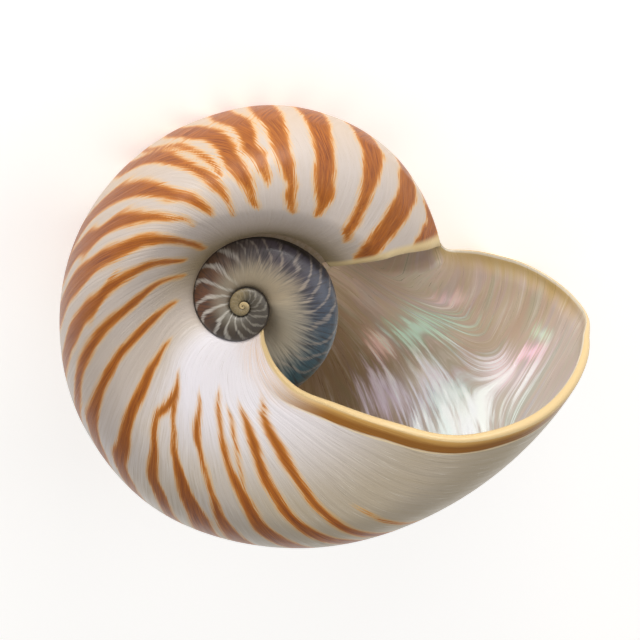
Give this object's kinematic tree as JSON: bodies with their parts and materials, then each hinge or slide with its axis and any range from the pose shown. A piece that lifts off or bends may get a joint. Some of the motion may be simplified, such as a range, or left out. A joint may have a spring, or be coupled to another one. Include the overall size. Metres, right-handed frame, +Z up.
{
  "type": "nautilus shell",
  "caption": "Coiled nautilus shell with a striped outer whorl, an open umbilicus that shows a small dark inner coil, and a wide pearly mouth.",
  "frame": {"origin": "centre of the bounding box at the height of the surface that the shell lies on", "axes": "+Z up, away from the surface that the shell lies on and out of the open umbilicus; +X towards the tip of the lip, along the longest side; +Y out of the mouth"},
  "size_m": [0.1682, 0.1484, 0.0884],
  "materials": {
    "outer_shell": "pearly cream white with orange-brown stripes",
    "nacre": "iridescent mother of pearl",
    "inner_coil": "dark glossy with pale streaks"
  },
  "bodies": {
    "root": {"shell": "outer_shell"}
  },
  "joints": []
}
